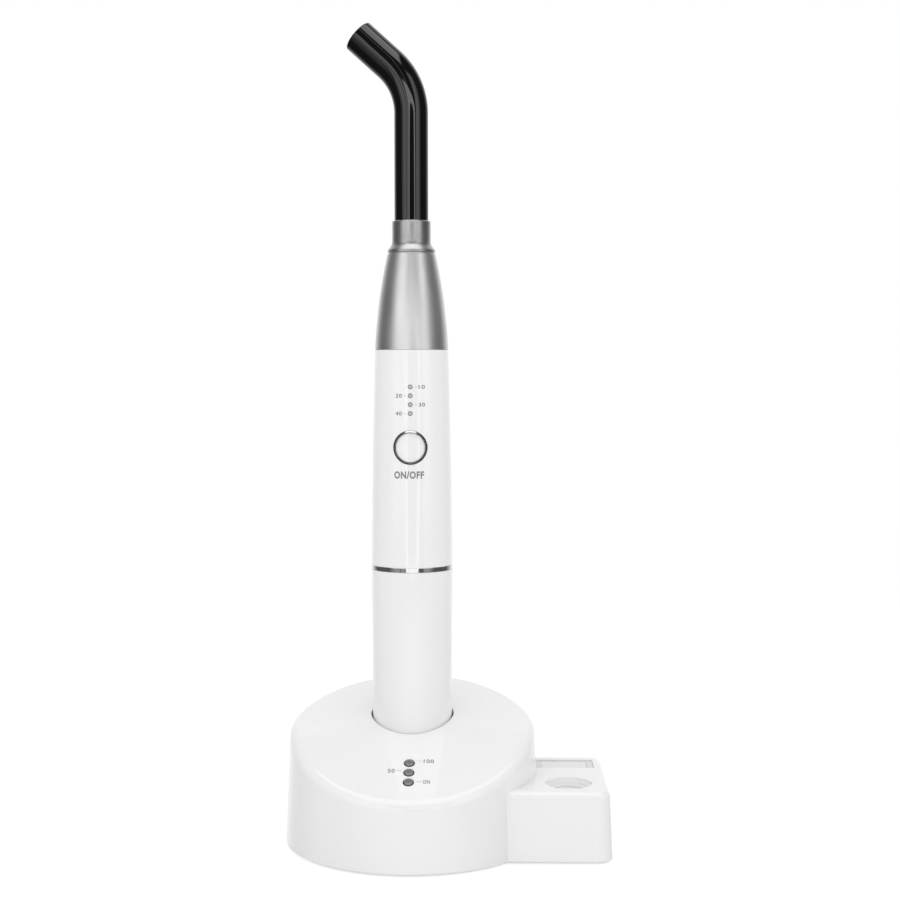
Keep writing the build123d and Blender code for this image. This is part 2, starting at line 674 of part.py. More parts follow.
def make_accent_ring():
    """The bright ring between the two white housings."""
    ring = tube(BODY_RADIUS + SLIP / 2, JOINT_RADIUS + SLIP, RING_LOW, RING_HIGH)
    return chamfer(ring.edges().filter_by(GeomType.CIRCLE).sort_by(SortBy.RADIUS)[-2:], RING_CHAMFER)


def make_rear_housing():
    """The white rear tube round the cell; its spigot takes the front housing."""
    outline = [(CELL_BORE, TAIL_Z), (TAIL_RADIUS, TAIL_Z), (BODY_RADIUS, RING_LOW),
               (JOINT_RADIUS, RING_LOW), (JOINT_RADIUS, RING_HIGH + JOINT_LENGTH - SLIP),
               (CELL_BORE, RING_HIGH + JOINT_LENGTH - SLIP)]
    tail = turned(outline, [((TAIL_RADIUS, TAIL_Z), TAIL_EDGE)])
    half = KEY_WIDTH / 2 + KEY_GAP
    low = SOCKET_RADIUS - KEY_DEPTH - KEY_GAP
    top = FLOOR_Z + KEY_HEIGHT + 3 * KEY_GAP
    return tail - slab((-half, half), (low, FAR), (0, top))


def make_tail_plug():
    """The plug that closes the tail, with a pocket for each charge pin."""
    plug = rod(CELL_BORE - SLIP, TAIL_Z, PLUG_TOP)
    for x in (-PIN_X, PIN_X):
        plug = plug - rod(POCKET_RADIUS, 0, TAIL_Z + POCKET_DEPTH + CONTACT_THICK, x)
    return plug


def make_tail_contacts():
    """The two charging contacts at the bottom of their pockets."""
    low = TAIL_Z + POCKET_DEPTH
    discs = [rod(POCKET_RADIUS - SLIP, low, low + CONTACT_THICK, x) for x in (-PIN_X, PIN_X)]
    return Compound(children=discs)


def make_battery_spring():
    """The coil between plug and cell."""
    height = TAIL_SPRING_HEIGHT
    return coil(TAIL_SPRING_RADIUS, TAIL_WIRE, TAIL_SPRING_PITCH, PLUG_TOP, height)


def make_battery_cell():
    """A round lithium cell."""
    shoulder = CELL_TOP - CELL_NUB
    outline = [(0, CELL_LOW), (CELL_RADIUS, CELL_LOW), (CELL_RADIUS, shoulder),
               (CELL_NUB_RADIUS, shoulder), (CELL_NUB_RADIUS, CELL_TOP), (0, CELL_TOP)]
    ends = [((CELL_RADIUS, CELL_LOW), CELL_EDGE), ((CELL_RADIUS, shoulder), CELL_EDGE)]
    return turned(outline, cuts=ends)


def make_battery_contact():
    """The contact plate on the chassis, above the cell."""
    return rod(CONTACT_RADIUS, CELL_TOP, CHASSIS_LOW)


def make_chassis():
    """The half-round carrier behind the control board, with an end disc at each end."""
    back = CONTROL_FACE_Y + CONTROL_BOARD[1]
    frame = tube(CHASSIS_RADIUS, CHASSIS_RADIUS - CHASSIS_WALL, CHASSIS_LOW, CHASSIS_TOP)
    frame = frame & slab((-FAR, FAR), (back, FAR), (0, FAR))
    frame = frame + rod(CHASSIS_RADIUS, CHASSIS_LOW, CHASSIS_LOW + CHASSIS_END)
    return frame + rod(CHASSIS_RADIUS, CHASSIS_TOP - CHASSIS_END, CHASSIS_TOP)


def make_control_board():
    """The control board, standing on the flat of the chassis."""
    wide, thick = CONTROL_BOARD
    ends = (CHASSIS_LOW + CHASSIS_END, CHASSIS_TOP - CHASSIS_END)
    return slab((-wide / 2, wide / 2), (CONTROL_FACE_Y, CONTROL_FACE_Y + thick), ends)


def switch_front():
    """Front face of the switch's case."""
    return CONTROL_FACE_Y - SWITCH_DEPTH


def make_power_switch():
    """The push switch's case with the plunger's pocket."""
    half = SWITCH_SIZE / 2
    case = slab((-half, half), (switch_front(), CONTROL_FACE_Y), (BUTTON_Z - half, BUTTON_Z + half))
    pocket = along_y(PLUNGER_RADIUS + RUN, switch_front() - 1, switch_front() + SWITCH_POCKET, z=BUTTON_Z)
    return case - pocket


def make_switch_plunger():
    """The switch's plunger, which moves with the button."""
    back = switch_front() + SWITCH_POCKET - BUTTON_TRAVEL - PLUNGER_GAP
    return along_y(PLUNGER_RADIUS, switch_front() - PLUNGER_OUT, back, z=BUTTON_Z)


def make_button_cap():
    """The white button: its face follows the body, and a flange holds it behind the bezel."""
    flange_front = bezel_back() + SLIP
    flange_back = flange_front + BUTTON_FLANGE_THICK
    face = along_y(BUTTON_RADIUS, -FAR, flange_back, z=BUTTON_Z) & body_form(-BUTTON_SUNK)
    flange = along_y(BUTTON_RADIUS + BUTTON_FLANGE, flange_front, flange_back, z=BUTTON_Z)
    stem = along_y(PLUNGER_RADIUS, flange_front, switch_front() - PLUNGER_OUT, z=BUTTON_Z)
    return face + flange + stem


def bezel_back():
    """Back face of the button's bezel, BEZEL_DEPTH behind the body's surface at its sides."""
    return BEZEL_DEPTH - sqrt(BODY_RADIUS ** 2 - BEZEL_OUTER ** 2)


def make_button_bezel():
    """The bright ring round the button, level with the body."""
    ring = along_y(BEZEL_OUTER, -FAR, bezel_back(), z=BUTTON_Z)
    ring = ring - along_y(BUTTON_RADIUS + 2 * RUN, -FAR, FAR, z=BUTTON_Z)
    return ring & body_form(BEZEL_PROUD)


def mode_heights():
    """Heights of the mode lamps."""
    return [MODE_TOP_Z - i * MODE_PITCH for i in range(MODE_COUNT)]


def make_mode_leds():
    """Small lamps on the control board, one for each mode."""
    wide, thick, high = MODE_LAMP
    front = CONTROL_FACE_Y - thick
    lamps = [slab((-wide / 2, wide / 2), (front, CONTROL_FACE_Y), (z - high / 2, z + high / 2))
             for z in mode_heights()]
    return Compound(children=lamps)


def make_mode_light_pipes():
    """Clear rods from the lamps to the body's surface, which each end follows as a short cone."""
    back = CONTROL_FACE_Y - MODE_LAMP[1]
    pipes = []
    for z in mode_heights():
        low, high = (body_radius(z + step) + SLIP for step in (-MODE_PITCH / 2, MODE_PITCH / 2))
        skin = Pos(0, 0, z) * Cone(low, high, MODE_PITCH)
        pipes.append(along_y(MODE_RADIUS, -FAR, back, z=z) & skin)
    return Compound(children=pipes)


# Nose and light source

def make_nose_cone():
    """The metal nose: bored for the guide, the lens and the heat sink."""
    cone = turned_side((NOSE_RADIUS, NECK_Z), (NOSE_TOP_RADIUS, NOSE_TOP), NOSE_CROWN)
    cone = chamfer(cone.edges().group_by(Axis.Z)[-1], NOSE_CHAMFER)
    cone = cone + rod(FRONT_BORE - SLIP, SPIGOT_LOW, NECK_Z)
    cone = cone - rod(GUIDE_BORE, 0, FAR)
    cone = cone - rod(LENS_RADIUS + SLIP, 0, GUIDE_SHOULDER)
    cone = cone - rod(SPIGOT_BORE, 0, SINK_TOP + EMITTER_THICK)
    groove = seal_ring(FRONT_BORE - NOSE_RING_WIRE, NOSE_RING_WIRE + SLIP, SPIGOT_LOW + SPIGOT_LENGTH / 2)
    return cone - groove


def make_nose_seal():
    """The sealing ring on the nose's spigot."""
    return seal_ring(FRONT_BORE - NOSE_RING_WIRE, NOSE_RING_WIRE, SPIGOT_LOW + SPIGOT_LENGTH / 2)


def make_heat_sink():
    """A slug with grooves turned round it."""
    sink = rod(SPIGOT_BORE - SLIP, SINK_LOW, SINK_TOP)
    for i in range(SINK_GROOVES):
        low = SINK_LOW + (2 * i + 1) * SINK_GROOVE
        sink = sink - tube(SPIGOT_BORE, SPIGOT_BORE - SINK_GROOVE_DEPTH, low, low + SINK_GROOVE)
    return sink


def make_led_emitter():
    """The emitter's board and its clear dome."""
    board = rod(EMITTER_RADIUS, SINK_TOP, SINK_TOP + EMITTER_THICK)
    dome = Pos(0, 0, SINK_TOP + EMITTER_THICK) * Sphere(DOME_RADIUS)
    return board + (dome & rod(DOME_RADIUS + 1, SINK_TOP, FAR))


def make_lens_holder():
    """The ring that carries the lens on the emitter's board."""
    low = SINK_TOP + EMITTER_THICK
    return tube(LENS_RADIUS, LENS_RADIUS - HOLDER_WALL, low, GUIDE_SHOULDER - LENS_FLANGE - SLIP)


def make_collimator_lens():
    """The collimating lens: a flange over a cone, hollowed for the emitter's dome."""
    flange_low = GUIDE_SHOULDER - LENS_FLANGE
    top = GUIDE_SHOULDER - SLIP
    side = LENS_RADIUS - HOLDER_WALL - LENS_GAP
    foot = LENS_LOW + LENS_GAP
    outline = [(0, foot), (LENS_FOOT, foot), (side, flange_low),
               (LENS_RADIUS, flange_low), (LENS_RADIUS, top), (0, top)]
    return turned(outline) - Pos(0, 0, LENS_LOW) * Sphere(DOME_RADIUS + LENS_GAP)


# Light guide

def guide_path(low):
    """Centre line of the guide before it is turned: straight, one bend towards -X, straight tip."""
    turn = radians(BEND_ANGLE)
    bend_end = (-BEND_RADIUS * (1 - cos(turn)), 0, BEND_START + BEND_RADIUS * sin(turn))
    tip = (bend_end[0] - TIP_LENGTH * sin(turn), 0, bend_end[2] + TIP_LENGTH * cos(turn))
    middle = (-BEND_RADIUS * (1 - cos(turn / 2)), 0, BEND_START + BEND_RADIUS * sin(turn / 2))
    stem = Line((0, 0, low), (0, 0, BEND_START))
    bend = ThreePointArc((0, 0, BEND_START), middle, bend_end)
    return stem + bend + Line(bend_end, tip)


def guide_bar(radius, low):
    """A round bar along the guide, turned about Z as the guide is."""
    bar = sweep(Plane.XY.offset(low) * Circle(radius), guide_path(low))
    return Rot(0, 0, -GUIDE_TURN) * bar


def make_guide_core():
    """The fused glass fibre rod that carries the light."""
    return guide_bar(CORE_RADIUS, SHANK_LOW)


def make_guide_jacket():
    """The black jacket round the rod."""
    jacket = guide_bar(JACKET_RADIUS, JACKET_LOW)
    jacket = fillet(jacket.edges().filter_by(GeomType.CIRCLE).sort_by(Axis.Z)[-1], JACKET_EDGE)
    return jacket - guide_bar(CORE_RADIUS, SHANK_LOW)


def make_guide_ferrule():
    """The metal end piece: collar, flare and the shank that plugs into the nose."""
    flare_low, flare_high = FERRULE_FLARE
    outline = [(0, SHANK_LOW), (SHANK_RADIUS, SHANK_LOW), (SHANK_RADIUS, FERRULE_LOW),
               (FERRULE_RADIUS - FERRULE_CHAMFER, FERRULE_LOW),
               (FERRULE_RADIUS, FERRULE_LOW + FERRULE_CHAMFER),
               (FERRULE_RADIUS, flare_low), (COLLAR_RADIUS, flare_high),
               (COLLAR_RADIUS, COLLAR_TOP), (0, COLLAR_TOP)]
    rounds = [((FERRULE_RADIUS, flare_low), FLARE_ROUND), ((COLLAR_RADIUS, flare_high), FLARE_HOLLOW),
              ((COLLAR_RADIUS, COLLAR_TOP), COLLAR_EDGE)]
    ferrule = turned(outline, rounds)
    ferrule = ferrule - rod(JACKET_RADIUS, JACKET_LOW, FAR) - rod(CORE_RADIUS, 0, FAR)
    middle = GUIDE_BORE - RUN - SEAL_WIRE
    return ferrule - seal_ring(middle, SEAL_WIRE + SLIP, SEAL_Z) - groove_mouth(middle)


def groove_mouth(middle):
    """Opens the seal's groove to the shank's surface."""
    half = SEAL_WIRE + SLIP
    return tube(GUIDE_BORE, middle, SEAL_Z - half, SEAL_Z + half)


def make_ferrule_o_ring():
    """The sealing ring on the shank, which slides out with it."""
    return seal_ring(GUIDE_BORE - RUN - SEAL_WIRE, SEAL_WIRE, SEAL_Z)


def main():
    """Make every piece and write one STEP file for each."""
    pieces = {
        "base_housing": make_base_housing(),
        "socket_cup": make_socket_cup(),
        "bottom_plate": make_bottom_plate(),
        "base_pad": make_base_pad(),
        "box_pad": make_box_pad(),
        "base_screws": make_base_screws(),
        "ballast_ring": make_ballast_ring(),
        "charge_board": make_charge_board(),
        "dc_jack": make_dc_jack(),
        "contact_block": make_contact_block(),
        "charge_pin_left": make_charge_pin(-PIN_X),
        "charge_pin_right": make_charge_pin(PIN_X),
        "pin_spring_left": make_pin_spring(-PIN_X),
        "pin_spring_right": make_pin_spring(PIN_X),
        "indicator_lamps": make_indicator_lamps(),
        "indicator_board": make_indicator_board(),
        "sensor_diffuser": make_sensor_diffuser(),
        "photodiode": make_photodiode(),
        "radiometer_board": make_radiometer_board(),
        "display_bezel": make_display_bezel(),
        "display_window": make_display_window(),
        "display_module": make_display_module(),
        "front_housing": make_front_housing(),
        "accent_ring": make_accent_ring(),
        "rear_housing": make_rear_housing(),
        "tail_plug": make_tail_plug(),
        "tail_contacts": make_tail_contacts(),
        "battery_spring": make_battery_spring(),
        "battery_cell": make_battery_cell(),
        "battery_contact": make_battery_contact(),
        "chassis": make_chassis(),
        "control_board": make_control_board(),
        "power_switch": make_power_switch(),
        "switch_plunger": make_switch_plunger(),
        "button_cap": make_button_cap(),
        "button_bezel": make_button_bezel(),
        "mode_leds": make_mode_leds(),
        "mode_light_pipes": make_mode_light_pipes(),
        "nose_cone": make_nose_cone(),
        "nose_seal": make_nose_seal(),
        "heat_sink": make_heat_sink(),
        "led_emitter": make_led_emitter(),
        "lens_holder": make_lens_holder(),
        "collimator_lens": make_collimator_lens(),
        "guide_core": make_guide_core(),
        "guide_jacket": make_guide_jacket(),
        "guide_ferrule": make_guide_ferrule(),
        "ferrule_o_ring": make_ferrule_o_ring(),
    }
    os.makedirs("parts", exist_ok=True)
    for node, shape in pieces.items():
        export_step(shape, "parts/" + node + ".step")
        print(node, "solids", len(shape.solids()), "volume", round(shape.volume, 1))


main()
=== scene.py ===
import json
from math import cos, hypot, pi, radians, sin

import bmesh
import bpy
from mathutils import Matrix, Vector
from mathutils.bvhtree import BVHTree


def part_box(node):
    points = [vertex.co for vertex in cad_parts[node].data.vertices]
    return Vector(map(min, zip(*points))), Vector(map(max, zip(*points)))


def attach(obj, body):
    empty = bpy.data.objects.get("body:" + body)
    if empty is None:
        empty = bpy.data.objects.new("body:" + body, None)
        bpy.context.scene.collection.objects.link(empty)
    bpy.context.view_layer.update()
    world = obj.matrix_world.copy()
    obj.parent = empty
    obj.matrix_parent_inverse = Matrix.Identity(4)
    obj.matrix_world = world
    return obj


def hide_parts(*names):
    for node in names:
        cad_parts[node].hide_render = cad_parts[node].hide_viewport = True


# Looks of the dental curing light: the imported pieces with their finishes, the lettering, and a
# plain studio. Metres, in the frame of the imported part: +Z up, the front towards -Y.

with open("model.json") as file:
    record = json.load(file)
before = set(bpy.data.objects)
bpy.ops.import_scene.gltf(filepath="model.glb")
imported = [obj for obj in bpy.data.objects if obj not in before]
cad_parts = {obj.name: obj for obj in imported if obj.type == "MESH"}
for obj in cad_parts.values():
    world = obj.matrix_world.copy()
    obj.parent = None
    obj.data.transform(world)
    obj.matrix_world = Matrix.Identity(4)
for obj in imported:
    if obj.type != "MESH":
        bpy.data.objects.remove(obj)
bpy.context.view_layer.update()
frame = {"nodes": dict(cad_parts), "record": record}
MM = 0.001
NODES = frame["nodes"]

# Camera, found from the photograph's edges and ellipses
CAMERA_DISTANCE = 463.9 * MM
CAMERA_TURN = radians(2.4)      # round the handpiece, from straight in front
CAMERA_HEIGHT = 135.7 * MM
CAMERA_YAW = radians(-1.059)
CAMERA_PITCH = radians(-2.879)
CAMERA_ROLL = radians(-0.065)
FOCAL_PIXELS = 1628.0
IMAGE_PIXELS = 900.0
SENSOR_WIDTH = 36.0             # millimetres, as Blender's lens is
CLIP_START = 10.0 * MM


# Camera, studio and floor

def make_camera():
    """The camera at the photograph's viewing angle."""
    data = bpy.data.cameras.new("camera")
    data.sensor_width = SENSOR_WIDTH
    data.lens = SENSOR_WIDTH * FOCAL_PIXELS / IMAGE_PIXELS
    data.clip_start = CLIP_START
    camera = bpy.data.objects.new("camera", data)
    bpy.context.collection.objects.link(camera)
    level = Vector((sin(CAMERA_YAW), cos(CAMERA_YAW), 0))
    ahead = level * cos(CAMERA_PITCH) + Vector((0, 0, sin(CAMERA_PITCH)))
    right = Vector((cos(CAMERA_YAW), -sin(CAMERA_YAW), 0))
    up = right.cross(ahead)
    rolled_right = right * cos(CAMERA_ROLL) + up * sin(CAMERA_ROLL)
    rolled_up = up * cos(CAMERA_ROLL) - right * sin(CAMERA_ROLL)
    place = CAMERA_DISTANCE * Vector((sin(CAMERA_TURN), -cos(CAMERA_TURN), 0))
    place.z = CAMERA_HEIGHT
    turn = Matrix((rolled_right, rolled_up, -ahead)).transposed().to_4x4()
    camera.matrix_world = Matrix.Translation(place) @ turn
    bpy.context.scene.camera = camera


class Graph:
    """A node tree with short calls for the nodes used here."""

    def __init__(self, tree, empty=True):
        self.tree = tree
        if empty:
            tree.nodes.clear()

    def add(self, kind, **settings):
        node = self.tree.nodes.new(kind)
        for name, value in settings.items():
            setattr(node, name, value)
        return node

    def put(self, socket, value):
        """Link an output to a socket, or set the socket's constant."""
        if isinstance(value, bpy.types.NodeSocket):
            self.tree.links.new(value, socket)
        else:
            socket.default_value = value

    def math(self, operation, *values):
        node = self.add("ShaderNodeMath", operation=operation)
        for socket, value in zip(node.inputs, values):
            self.put(socket, value)
        return node.outputs[0]

    def ramp(self, value, low, high, out_low=0.0, out_high=1.0):
        """Smooth step of a value between two limits."""
        node = self.add("ShaderNodeMapRange", interpolation_type="SMOOTHSTEP")
        for socket, number in zip(node.inputs, (value, low, high, out_low, out_high)):
            self.put(socket, number)
        return node.outputs[0]

    def largest(self, *values):
        result = values[0]
        for value in values[1:]:
            result = self.math("MAXIMUM", result, value)
        return result

    def product(self, *values):
        result = values[0]
        for value in values[1:]:
            result = self.math("MULTIPLY", result, value)
        return result

    def away(self, value, middle):
        """How far a value is from a middle, either way."""
        return self.math("ABSOLUTE", self.math("SUBTRACT", value, middle))


# What the shiny pieces mirror: brightness by direction, in degrees round from the front, positive
# to the right, and up. Two side panels, a bright hoop round the dark place of the camera between
# them, a panel overhead, the table in front and a pale wall behind.
LEFT_PANEL = (-74.0, -42.0, -19.0)      # turns where it begins, is full and ends
RIGHT_PANEL = (35.5, 47.0, 74.0)        # turns where it begins, starts to fade and ends
SLIT_TURN = -31.0               # of a darker line in the left panel
SLIT_HALF = 1.2
SLIT_LIGHT = 0.3
PANEL_LIGHT = 1.1
PANEL_FOOT = (-11.0, 1.0)
PANEL_TOP = (37.0, 43.0)
HOOP_LEAN = 0.3                 # that its middle moves right, for each degree up
HOOP_MIDDLE = (2.6, 6.0)        # turn at its foot and at its top
HOOP_FOOT = -6.0
HOOP_FOOT_HALF = 15.0
HOOP_HALF = 19.5
HOOP_SPREAD = 0.6               # that it opens, for each degree up
HOOP_BEND = 5.0                 # where its sides begin to close
HOOP_RISES = (7.0, 14.0)        # of its inner and outer edge, above there
HOOP_BAND = 3.0                 # half of its width
HOOP_LIGHT = 2.0
TABLE_HALF = 16.5
TABLE_EDGES = (-8.4, -7.1, -6.4, -5.6)  # where it begins, is at full width, starts to fade and ends
TABLE_LIGHT = 1.3
NEAR_TURNS = (5.0, 75.0)        # of the table close to the object, which fades to both sides
NEAR_FOOT = (-34.0, -22.0)
NEAR_TOP = (-10.0, -8.2)
NEAR_LIGHT = 1.0
CEILING_LIGHT = 1.75
CEILING_SIDE = (0.53, 0.63)     # soft edges of the overhead panel, over its height
CEILING_BACK = (0.18, 0.24)
CEILING_FRONT = (-0.86, -0.70)
CEILING_FOOT = (0.0, 0.1)
LEAST_HEIGHT = 0.01             # that the panel's places are divided by
WALL_TURNS = (108.0, 160.0)
WALL_TOP = (45.0, 66.0)
WALL_FADED = 0.55               # share of it that is left overhead
WALL_LIGHT = 1.0
ROOM_LIGHT = 0.035
EDGE = 1.2                      # softness of the edges

# What lights the matt pieces: even light from all sides, with more from the front and above
FILL_LIGHT = 0.97
FILL_FRONT = 0.24
FILL_TOP = 0.045


def make_world():
    """White where the camera looks past the object, even fill, and a studio for reflections."""
    world = bpy.data.worlds.new("studio")
    bpy.context.scene.world = world
    world.use_nodes = True
    graph = Graph(world.node_tree)
    path = graph.add("ShaderNodeLightPath").outputs
    direction = graph.add("ShaderNodeSeparateXYZ")
    graph.put(direction.inputs[0], graph.add("ShaderNodeTexCoord").outputs["Generated"])
    x, y, z = direction.outputs
    back = graph.math("MULTIPLY", y, -1.0)
    turn = graph.math("DEGREES", graph.math("ARCTAN2", x, back))
    up = graph.math("DEGREES", graph.math("ARCSINE", z))

    left = graph.product(graph.ramp(turn, *LEFT_PANEL[:2], 0.0, PANEL_LIGHT),
                         graph.ramp(turn, LEFT_PANEL[2], LEFT_PANEL[2] + EDGE, 1.0, 0.0))
    right = graph.product(graph.ramp(turn, RIGHT_PANEL[0] - EDGE, RIGHT_PANEL[0], 0.0, PANEL_LIGHT),
                          graph.ramp(turn, *RIGHT_PANEL[1:], 1.0, 0.0))
    slit = graph.ramp(graph.away(turn, SLIT_TURN), SLIT_HALF, SLIT_HALF + EDGE, SLIT_LIGHT, 1.0)
    panels = graph.product(graph.largest(left, right), slit, graph.ramp(up, *PANEL_FOOT),
                           graph.ramp(up, *PANEL_TOP, 1.0, 0.0))

    above_foot = graph.math("SUBTRACT", up, HOOP_FOOT)
    middle = graph.math("MULTIPLY_ADD", above_foot, HOOP_LEAN, HOOP_MIDDLE[0])
    middle = graph.math("MINIMUM", middle, HOOP_MIDDLE[1])
    off_middle = graph.away(turn, middle)
    half = graph.math("MULTIPLY_ADD", above_foot, HOOP_SPREAD, HOOP_FOOT_HALF)
    half = graph.math("MINIMUM", half, HOOP_HALF)
    over_bend = graph.math("MAXIMUM", graph.math("SUBTRACT", up, HOOP_BEND), 0.0)
    edges = []
    for rise, band in zip(HOOP_RISES, (-HOOP_BAND, HOOP_BAND)):
        height = graph.math("MINIMUM", graph.math("DIVIDE", over_bend, rise), 1.0)
        closing = graph.math("SQRT", graph.math("SUBTRACT", 1.0, graph.math("MULTIPLY", height, height)))
        edges.append(graph.math("MULTIPLY", graph.math("ADD", half, band), closing))
    inner, outer = (graph.math("SUBTRACT", off_middle, edge) for edge in edges)
    hoop = graph.product(graph.ramp(inner, -EDGE, 0.0, 0.0, HOOP_LIGHT),
                         graph.ramp(outer, 0.0, EDGE, 1.0, 0.0),
                         graph.ramp(up, HOOP_FOOT - 2 * EDGE, HOOP_FOOT))

    low, full, soft, high = TABLE_EDGES
    table_half = graph.ramp(up, low, full, 0.0, TABLE_HALF)
    past_table = graph.math("SUBTRACT", graph.away(turn, HOOP_MIDDLE[0]), table_half)
    table = graph.product(graph.ramp(past_table, -EDGE, 0.0, TABLE_LIGHT, 0.0),
                          graph.ramp(up, soft, high, 1.0, 0.0))

    around = graph.math("ABSOLUTE", turn)
    near = graph.product(graph.ramp(around, *NEAR_TURNS, NEAR_LIGHT, 0.0),
                         graph.ramp(up, *NEAR_FOOT), graph.ramp(up, *NEAR_TOP, 1.0, 0.0))

    over = graph.math("MAXIMUM", z, LEAST_HEIGHT)
    aside = graph.math("ABSOLUTE", graph.math("DIVIDE", x, over))
    along = graph.math("DIVIDE", y, over)
    ceiling = graph.product(graph.ramp(aside, *CEILING_SIDE, CEILING_LIGHT, 0.0),
                            graph.ramp(along, *CEILING_BACK, 1.0, 0.0),
                            graph.ramp(along, *CEILING_FRONT),
                            graph.ramp(z, *CEILING_FOOT))
    behind = graph.ramp(around, *WALL_TURNS, 0.0, WALL_LIGHT)
    behind = graph.product(behind, graph.ramp(up, *WALL_TOP, 1.0, WALL_FADED))
    mirrored = graph.largest(panels, hoop, table, near, ceiling, behind, ROOM_LIGHT)

    fill = graph.math("MULTIPLY_ADD", back, FILL_FRONT, FILL_LIGHT)
    fill = graph.math("MULTIPLY_ADD", z, FILL_TOP, fill)
    glossy = path["Is Glossy Ray"]
    clear = graph.largest(path["Is Camera Ray"], path["Is Transmission Ray"])
    matt = graph.math("SUBTRACT", 1.0, graph.largest(glossy, clear))
    strength = graph.math("ADD", graph.product(glossy, mirrored), clear)
    strength = graph.math("ADD", strength, graph.product(matt, fill))
    sky = graph.add("ShaderNodeBackground")
    sky.inputs["Color"].default_value = (1.0, 1.0, 1.0, 1.0)
    graph.put(sky.inputs["Strength"], strength)
    graph.put(graph.add("ShaderNodeOutputWorld").inputs["Surface"], sky.outputs[0])


FLOOR_SIDE = 0.9
FLOOR_GAP = 0.02 * MM
FLOOR_GLOW = 0.8                # that the camera sees on top of the floor's own shading
FLOOR_SHADE = 0.3               # its colour to the camera
FLOOR_COLOUR = 0.85             # its colour to the light that it throws back on the object


def make_floor():
    """A pale floor that reads as white to the camera and keeps the object's soft shadow."""
    mesh = bpy.data.meshes.new("floor")
    half = FLOOR_SIDE / 2
    corners = [(-half, -half, 0), (half, -half, 0), (half, half, 0), (-half, half, 0)]
    mesh.from_pydata(corners, [], [(0, 1, 2, 3)])
    floor = bpy.data.objects.new("floor", mesh)
    bpy.context.collection.objects.link(floor)
    floor.location.z = -FLOOR_GAP
    floor.visible_glossy = False        # polished pieces see the studio's own lower half instead
    material = bpy.data.materials.new("floor")
    material.use_nodes = True
    graph = Graph(material.node_tree)
    path = graph.add("ShaderNodeLightPath").outputs
    clear = graph.largest(path["Is Camera Ray"], path["Is Transmission Ray"])
    glow = graph.add("ShaderNodeEmission")
    glow.inputs["Color"].default_value = (1.0, 1.0, 1.0, 1.0)
    graph.put(glow.inputs["Strength"], graph.math("MULTIPLY", clear, FLOOR_GLOW))
    shade = graph.add("ShaderNodeBsdfDiffuse")
    graph.put(shade.inputs["Color"], graph.ramp(clear, 0.0, 1.0, FLOOR_COLOUR, FLOOR_SHADE))
    both = graph.add("ShaderNodeAddShader")
    graph.put(both.inputs[0], glow.outputs[0])
    graph.put(both.inputs[1], shade.outputs[0])
    graph.put(graph.add("ShaderNodeOutputMaterial").inputs["Surface"], both.outputs[0])
    mesh.materials.append(material)


# Finishes

COAT_ROUGH = 0.03
BLOTCH_SIZE = 9.0
LEAST_ROUGH = 0.01
BLOTCH_SPAN = (0.3, 0.7)        # part of the noise that goes from the least to the most
MOTTLE_SPAN = (0.25, 0.75)
GRAIN_DETAIL = 2.0
NOISE_DETAIL = 3.0              # of the blotches and the mottle


def finish(name, colour, rough, metal=0.0, coat=0.0, grain=(0.0, 0.0), mottle=(0.0, 0.0), blotch=0.04,
           stretch=(1.0, 1.0, 1.0), see_through=0.0, index=1.5):
    """A principled finish. grain is (size in mm, height in mm) of a fine bump, mottle is (size in mm,
    share) of a light and dark variation in colour, and blotch is how far the roughness wanders."""
    material = bpy.data.materials.new(name)
    material.use_nodes = True
    graph = Graph(material.node_tree)
    shader = graph.add("ShaderNodeBsdfPrincipled")
    graph.put(graph.add("ShaderNodeOutputMaterial").inputs["Surface"], shader.outputs[0])
    shader.inputs["Base Color"].default_value = (*colour, 1.0)
    shader.inputs["Metallic"].default_value = metal
    shader.inputs["IOR"].default_value = index
    shader.inputs["Coat Weight"].default_value = coat
    shader.inputs["Coat Roughness"].default_value = COAT_ROUGH
    shader.inputs["Transmission Weight"].default_value = see_through
    place = graph.add("ShaderNodeTexCoord").outputs["Object"]
    scaled = graph.add("ShaderNodeMapping")
    graph.put(scaled.inputs["Vector"], place)
    scaled.inputs["Scale"].default_value = stretch

    def noise(size, detail=NOISE_DETAIL):
        node = graph.add("ShaderNodeTexNoise")
        graph.put(node.inputs["Vector"], scaled.outputs[0])
        node.inputs["Scale"].default_value = 1.0 / (size * MM)
        node.inputs["Detail"].default_value = detail
        return node.outputs["Fac"]

    smoothest = max(rough - blotch, LEAST_ROUGH)
    wander = graph.ramp(noise(BLOTCH_SIZE), *BLOTCH_SPAN, smoothest, rough + blotch)
    graph.put(shader.inputs["Roughness"], wander)
    if mottle[1]:
        mixed = graph.add("ShaderNodeMix", data_type="RGBA")
        graph.put(mixed.inputs["Factor"], graph.ramp(noise(mottle[0]), *MOTTLE_SPAN))
        dark = tuple(c * (1 - mottle[1]) for c in colour)
        light = tuple(min(c * (1 + mottle[1]), 1.0) for c in colour)
        mixed.inputs["A"].default_value = (*dark, 1.0)
        mixed.inputs["B"].default_value = (*light, 1.0)
        graph.put(shader.inputs["Base Color"], mixed.outputs["Result"])
    if grain[1]:
        bump = graph.add("ShaderNodeBump")
        bump.inputs["Distance"].default_value = grain[1] * MM
        graph.put(bump.inputs["Height"], noise(grain[0], GRAIN_DETAIL))
        graph.put(shader.inputs["Normal"], bump.outputs[0])
    return material


